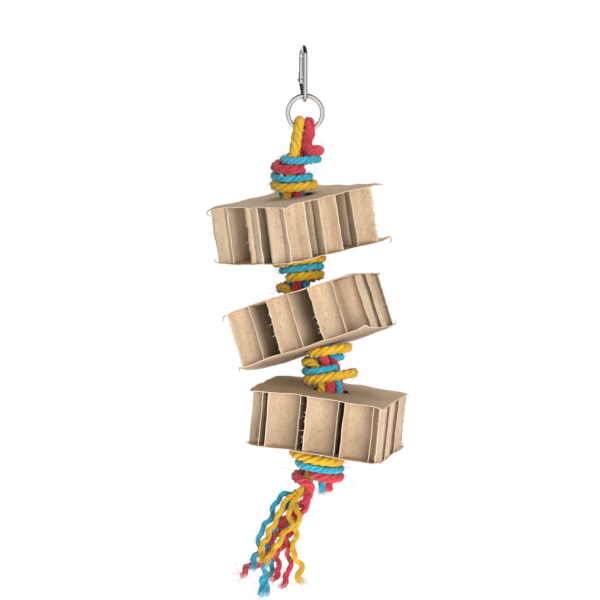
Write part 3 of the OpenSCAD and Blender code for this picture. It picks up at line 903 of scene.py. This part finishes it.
def facing_sheet(k, side):
    """A facing sheet: its rim and its hole are cut by hand, and its edges are soft and worn."""
    name = "block_%d_%s_sheet" % (k + 1, "top" if side > 0 else "bottom")
    rounds = 176
    rings = 22
    corner_cut = 0.9
    corner_ease = 0.12
    corner_zone = 9
    corner_droop = 2.6
    rim_zone = 7
    rim_curl = 0.9
    rim_thinning = 0.35
    hole_trim = 1.1
    signs = ((1, 1), (-1, 1), (-1, -1), (1, -1))
    corners = [math.atan2(sy * block_w, sx * block_l) for sx, sy in signs]
    angles = [2 * math.pi * i / rounds for i in range(rounds)]
    for corner in corners:
        apart = [abs((angle - corner + math.pi) % (2 * math.pi) - math.pi) for angle in angles]
        angles[apart.index(min(apart))] = corner
    mid_z = side * (core_t + sheet_t) / 2
    half_diagonal = math.hypot(block_l, block_w) / 2
    points = []
    tear_and_shade = []
    for face in (1, -1):
        for ring in range(rings + 1):
            t = ring / rings
            for angle in angles:
                c, s = math.cos(angle), math.sin(angle)
                reach = min(block_l / 2 / max(1e-6, abs(c)), block_w / 2 / max(1e-6, abs(s)))
                eased_reach = half_diagonal - corner_cut - corner_ease * (half_diagonal - reach)
                reach = min(reach, eased_reach)
                worn = noise.noise(Vector((reach * c * 0.11 + 9 * k, reach * s * 0.11, side)))
                nick = noise.noise(Vector((reach * c * 0.55, reach * s * 0.55, side + 4 * k)))
                outer = reach + 0.5 * worn + 0.35 * nick
                ragged = noise.noise(Vector((c * 5 + k, s * 5, side)))
                inner = hole_d / 2 - hole_trim + 0.35 * ragged
                r = inner + (outer - inner) * t
                edge = max(0, 1 - (reach - r) / rim_zone)
                ripple = noise.noise(Vector((r * c * 0.07 + 3 * k, r * s * 0.07, 2 * side)))
                in_corner = max(0, 1 - (half_diagonal - r) / corner_zone)
                droop = side * corner_droop * in_corner * in_corner
                curl = rim_curl * edge * edge * ripple - droop
                thin = 1 - rim_thinning * (t == 1)
                points.append((r * c, r * s, mid_z + curl + face * sheet_t / 2 * thin))
                # Painted shade on the sheet's inner face, darker deep inside the block; the rims
                # count as torn
                inside = painted_shade_share(r * c, r * s) if face != side else 0
                tear_and_shade.append((1 if ring in (0, rings) else 0, inside, 0))
    faces = []
    level = (rings + 1) * rounds
    for ring in range(rings):
        for i in range(rounds):
            m = (i + 1) % rounds
            a, b = ring * rounds + i, ring * rounds + m
            c, d = (ring + 1) * rounds + m, (ring + 1) * rounds + i
            faces.append((a, d, c, b))
            faces.append((level + a, level + b, level + c, level + d))
    for i in range(rounds):
        m = (i + 1) % rounds
        faces.append((i, m, level + m, level + i))
        a, b = rings * rounds + i, rings * rounds + m
        faces.append((b, a, level + a, level + b))
    heap = Heap()
    heap.add(to_world(k, points), faces, tear_and_shade)
    add_piece(name + "_paper", heap, sheet_paper, "tear_and_shade", cad=name, smooth=False)


def glue_x(k, face, m):
    """Where the glue line m lies on a face between two ribbons."""
    wander = cell_wander * sin(137 * m + 71 * face + 50 * k)
    return cell_start[k][0] + (m + (face % 2) / 2) * cell_pitch[k] + wander


def ribbon_line(k, row):
    """The line of one ribbon in its block's plane, as closely spaced points."""
    spacing = 0.5
    smoothing = 6
    low = cell_start[k][1] - block_w / 2 + row * row_pitch + paper_t / 2 - glue_lap / 2
    high = low + row_pitch - paper_t + glue_lap
    corners = []
    for m in range(-1, cells_across):
        for face, cell, y in ((row, m, low), (row + 1, m + row % 2, high)):
            x = glue_x(k, face, cell)
            half = glue_l[k][face % 2] / 2
            corners.append((x - half, y))
            corners.append((x + half, y))
    line = []
    for a, b in zip(corners, corners[1:]):
        a, b = np.array(a), np.array(b)
        count = max(2, int(np.linalg.norm(b - a) / spacing))
        line += [a + (b - a) * i / count for i in range(count)]
    return eased(np.array(line), smoothing)


def inside_runs(line):
    """Stretches of a ribbon's line inside the block and outside its hole, as index pairs."""
    side_gap = 0.3
    hole_gap = 0.2
    fewest_points = 6
    kept = np.abs(line[:, 0]) < block_l / 2 - side_gap
    kept &= np.abs(line[:, 1]) < block_w / 2 - side_gap
    kept &= np.hypot(line[:, 0], line[:, 1]) > hole_d / 2 + hole_gap
    runs = []
    start = None
    for i, good in enumerate(kept):
        if good and start is None:
            start = i
        if not good and start is not None:
            runs.append((start, i - 1))
            start = None
    if start is not None:
        runs.append((start, len(line) - 1))
    return [run for run in runs if run[1] - run[0] > fewest_points]


def tear(seed, z, rough):
    """How far a cut edge falls back at a height, where the paper tore instead of being cut."""
    coarse = noise.noise(Vector((z * 0.09, seed, 0)))
    fine = noise.noise(Vector((z * 0.6, seed, 5)))
    shred = max(0, noise.noise(Vector((z * 1.7, seed, 9))))
    return rough * (0.5 + 0.9 * coarse + 0.45 * fine + 0.9 * shred)


def point_on(line, gone, place):
    """The point of a line at a length along it."""
    x = np.interp(place, gone, line[:, 0])
    y = np.interp(place, gone, line[:, 1])
    return np.array([x, y])


def paper_ribbon(heap, k, row, line, run, chance):
    """One stretch of ribbon as a thin sheet with two faces and torn ends."""
    part = line[run[0]:run[1] + 1]
    gone = np.concatenate([[0], np.cumsum(np.linalg.norm(np.diff(part, axis=0), axis=1))])
    length = gone[-1]
    column_w = 2.2
    columns = max(3, int(length / column_w))
    levels = 26
    beside = 0.6
    overhang = 0.3
    waviness = 0.45
    end_curl = 0.9
    curl_zone = 5
    half_t = 0.42 * paper_t
    seed = chance.uniform(0, 90)
    rough = [chance.choice((0.2, 0.45, 0.8, 1.5)) for _ in (0, 1)]
    grid = []
    for j in range(levels + 1):
        z = (j / levels - 0.5) * core_t
        cut = [tear(seed + 31 * e, z, rough[e]) for e in (0, 1)]
        first = max(-overhang, cut[0])
        last = length - max(-overhang, cut[1])
        row_points = []
        for i in range(columns + 1):
            place = first + (last - first) * i / columns
            here = point_on(part, gone, place)
            behind = point_on(part, gone, max(0, place - beside))
            ahead = point_on(part, gone, min(length, place + beside)) - behind
            normal = unit(np.array([-ahead[1], ahead[0]]))
            wave = waviness * noise.noise(Vector((place * 0.13 + seed, z * 0.05, row)))
            wave *= math.sin(math.pi * (j / levels))
            end = min(place, length - place)
            curl = end_curl * max(0, 1 - end / curl_zone) ** 2
            curl *= noise.noise(Vector((seed, z * 0.08, 3)))
            here = here + normal * (wave + curl)
            row_points.append((here, normal, z))
        grid.append(row_points)
    points = []
    tear_and_shade = []
    for side in (1, -1):
        for row_points in grid:
            for i, (here, normal, z) in enumerate(row_points):
                p = here + side * half_t * normal
                points.append((p[0], p[1], z))
                # How torn each point is, and painted shade that darkens it deep inside the block
                tear_and_shade.append((1 if i in (0, columns) else 0, painted_shade_share(p[0], p[1]), 0))
    wide = columns + 1
    level = (levels + 1) * wide
    faces = []
    for j in range(levels):
        for i in range(columns):
            a, b = j * wide + i, j * wide + i + 1
            c, d = (j + 1) * wide + i + 1, (j + 1) * wide + i
            faces.append((a, d, c, b))
            faces.append((level + a, level + b, level + c, level + d))
        for i in (0, columns):
            a, d = j * wide + i, (j + 1) * wide + i
            faces.append((a, level + a, level + d, d) if i == 0 else (a, d, level + d, level + a))
    heap.add(to_world(k, points), faces, tear_and_shade)
    return grid, rough


def add_wisps(heap, k, grid, rough, chance):
    """Slivers of torn paper on the roughest ends."""
    torn_from = 0.7
    wisps_each = 7
    wisp_r = 0.38
    taper = 0.85
    pieces = 4
    sides = 4
    for end in (0, -1):
        if rough[end] < torn_from:
            continue
        for _ in range(int(wisps_each * rough[end])):
            row_points = grid[chance.randrange(2, len(grid) - 2)]
            here, normal, z = row_points[end]
            before = row_points[1 if end == 0 else -2][0]
            away = unit(here - before)
            length = chance.uniform(1.2, 4.2)
            lean = chance.uniform(-1, 1)
            droop = chance.uniform(-0.9, 0.6)
            path = []
            for i in range(pieces + 1):
                t = i / pieces
                flat = here - 0.6 * away + away * length * t + normal * lean * length * t * t
                path.append(np.array([flat[0], flat[1], z + droop * length * t]))
            path = np.array(to_world(k, path))
            radius = [wisp_r * (1 - taper * i / pieces) for i in range(pieces + 1)]
            add_tube(heap, path, radius, sides, chance.random())


# Corners from which a torn sliver hangs: the top (1) or the bottom (-1) sheet, the corner's side
# along the block's length and depth, the sliver's length, and how far it curls up, in radians
curled_corners = [[(1, -1, 1, 8.5, -3.4), (-1, -1, 1, 6, 2.2), (-1, 1, -1, 8, -3.6)],
                  [(1, -1, -1, 6, -1.9), (-1, -1, -1, 4, -2.0), (-1, 1, 1, 4, 1.2)], []]


def add_corner_curls(heap, k):
    """Torn slivers of the facing sheets that hang curled from some of the corners."""
    pieces = 9
    sides = 5
    curl_r = 0.75
    taper = 0.6
    inset = 2
    below_sheet = 0.8
    up = np.array([0, 0, 1.0])
    for side, sx, sy, length, bend in curled_corners[k]:
        out = unit(np.array([sx * block_l, sy * block_w, 0.0]))
        path = [np.array([sx * (block_l / 2 - inset), sy * (block_w / 2 - inset),
                          side * (core_t / 2 - below_sheet)])]
        for i in range(pieces):
            angle = bend * (i + 0.5) / pieces
            way = math.cos(angle) * out + math.sin(angle) * up
            path.append(path[-1] + way * length / pieces)
        radius = [curl_r * (1 - taper * i / pieces) for i in range(pieces + 1)]
        add_tube(heap, np.array(to_world(k, path)), radius, sides, k)


def paper_block(k):
    """One block: its two sheets, its ribbons with their torn wisps, and its curled corners."""
    chance = random.Random(40 + k)
    for side in (1, -1):
        facing_sheet(k, side)
    ribbons = Heap()
    wisps = Heap()
    rows = math.ceil((block_w - cell_start[k][1]) / row_pitch)
    for row in range(rows):
        line = ribbon_line(k, row)
        for run in inside_runs(line):
            grid, rough = paper_ribbon(ribbons, k, row, line, run, chance)
            add_wisps(wisps, k, grid, rough, chance)
    name = "block_%d_honeycomb" % (k + 1)
    add_piece(name + "_paper", ribbons, core_paper, "tear_and_shade", cad=name)
    add_piece("block_%d_torn_wisps" % (k + 1), wisps, torn_paper)
    if curled_corners[k]:
        curls = Heap()
        add_corner_curls(curls, k)
        add_piece("block_%d_corner_curls" % (k + 1), curls, sheet_paper)


for k in range(len(block_at)):
    paper_block(k)


# Metal keeps the solids and gets its plating
ring_steel = steel_material("ring_plate", 0.17, linear(208, 208, 206),
                            (ring_at * MM, ring_mid_r * MM, ring_wire_w / 2 * MM))
for name in ("hook_body", "hook_gate", "gate_rivet", "gate_spring", "split_ring"):
    metal = ring_steel if name == "split_ring" else plate_steel
    for slot in nodes[name].material_slots:
        slot.material = metal


# Stage: a white studio all round, a white floor far below, large soft lamps, and dark flags
# that only the metal mirrors
def stage_material(name, level, glow):
    """A dull grey of the given level, which also glows white."""
    material, _, shader = new_material(name, 1.0)
    shader.inputs["Base Color"].default_value = (level, level, level, 1)
    shader.inputs["Emission Color"].default_value = white
    shader.inputs["Emission Strength"].default_value = glow
    shader.inputs["Specular IOR Level"].default_value = 0
    return material


# Places and sizes of the stage are in metres. A flag has its place, its lean and its two sides.
studio_r = 7
floor_r = 6.5
floor_z = -2.4
stage_flags = {"left_flag": ((-1.5, 0, -0.1), 90, (2.6, 2.0)),
               "right_flag": ((1.5, 0, -0.1), 90, (2.6, 2.0)),
               "top_flag": ((0, -0.3, 1.3), 0, (3.6, 3.4))}


def make_stage():
    bpy.ops.mesh.primitive_uv_sphere_add(segments=48, ring_count=24, radius=studio_r)
    studio = bpy.context.object
    studio.name = "studio"
    studio.data.shade_smooth()
    studio.data.materials.append(stage_material("studio_white", 0, 1))
    bpy.ops.mesh.primitive_circle_add(vertices=96, radius=floor_r, fill_type="NGON",
                                      location=(0, 0, floor_z))
    floor = bpy.context.object
    floor.name = "floor"
    floor.data.materials.append(stage_material("floor_white", 0.02, 1))
    for piece in (studio, floor):
        piece.visible_diffuse = False
        piece.visible_shadow = False
    for title, (place, lean, sides) in stage_flags.items():
        bpy.ops.mesh.primitive_plane_add(size=1, location=place, rotation=(0, math.radians(lean), 0))
        flag = bpy.context.object
        flag.name = title
        flag.scale = (*sides, 1)
        flag.data.materials.append(stage_material(title + "_black", 0.01, 0))
        flag.visible_camera = False
        flag.visible_diffuse = False
        flag.visible_shadow = False
        flag.visible_transmission = False


# Square lamps aimed at the toy's middle, each with its place and its power in watts
toy_middle = (0, 0, -0.24)
lamp_side = 1.4
lamps = {"key": ((0.7, -2.08, -0.4), 44), "low": ((0, -0.7, -2.1), 29), "top": ((0.3, 0.9, 2.0), 28)}
sky_strength = 0.39


def add_lamp(name, place, power):
    data = bpy.data.lights.new(name, "AREA")
    data.shape = "SQUARE"
    data.size = lamp_side
    data.energy = power
    lamp = bpy.data.objects.new(name, data)
    lamp.location = place
    way = Vector(toy_middle) - Vector(place)
    lamp.rotation_euler = way.to_track_quat("-Z", "Y").to_euler()
    lamp.visible_glossy = False
    bpy.context.scene.collection.objects.link(lamp)


def make_lights():
    for name, (place, power) in lamps.items():
        add_lamp(name, place, power)
    world = bpy.data.worlds.new("world")
    bpy.context.scene.world = world
    world.use_nodes = True
    background = world.node_tree.nodes["Background"]
    background.inputs["Color"].default_value = white
    background.inputs["Strength"].default_value = sky_strength
    bpy.context.scene.view_settings.view_transform = "Standard"


make_stage()
make_lights()
